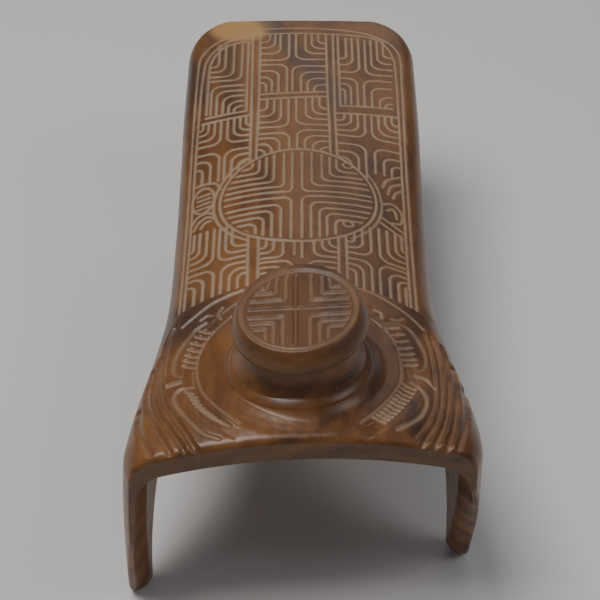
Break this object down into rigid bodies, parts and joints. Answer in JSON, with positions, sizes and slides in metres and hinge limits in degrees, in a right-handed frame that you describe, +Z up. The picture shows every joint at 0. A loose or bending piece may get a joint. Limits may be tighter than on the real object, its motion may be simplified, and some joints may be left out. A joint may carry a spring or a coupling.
{
  "type": "headrest",
  "caption": "Carved wooden headrest with a long arched deck, four tongue-shaped legs, and a flared hood that carries a round disc on a short neck.",
  "frame": {"origin": "on the ground under the middle of the headrest's length and width", "axes": "+Z up, +Y along the deck away from the hood and its front arch, +X to the right as seen from the front arch"},
  "size_m": [0.1579, 0.3368, 0.1461],
  "materials": {
    "polished_wood": "satin polished hardwood with incised pale lines",
    "hood_wood": "glossy polished hardwood",
    "disc_wood": "glossy polished hardwood, darker"
  },
  "bodies": {
    "root": {"deck": "polished_wood", "hood": "hood_wood", "knob_collar": "hood_wood", "knob_neck": "hood_wood", "knob_disc": "disc_wood", "left_front_leg": "hood_wood", "right_front_leg": "hood_wood", "left_rear_leg": "polished_wood", "right_rear_leg": "polished_wood"}
  },
  "joints": []
}
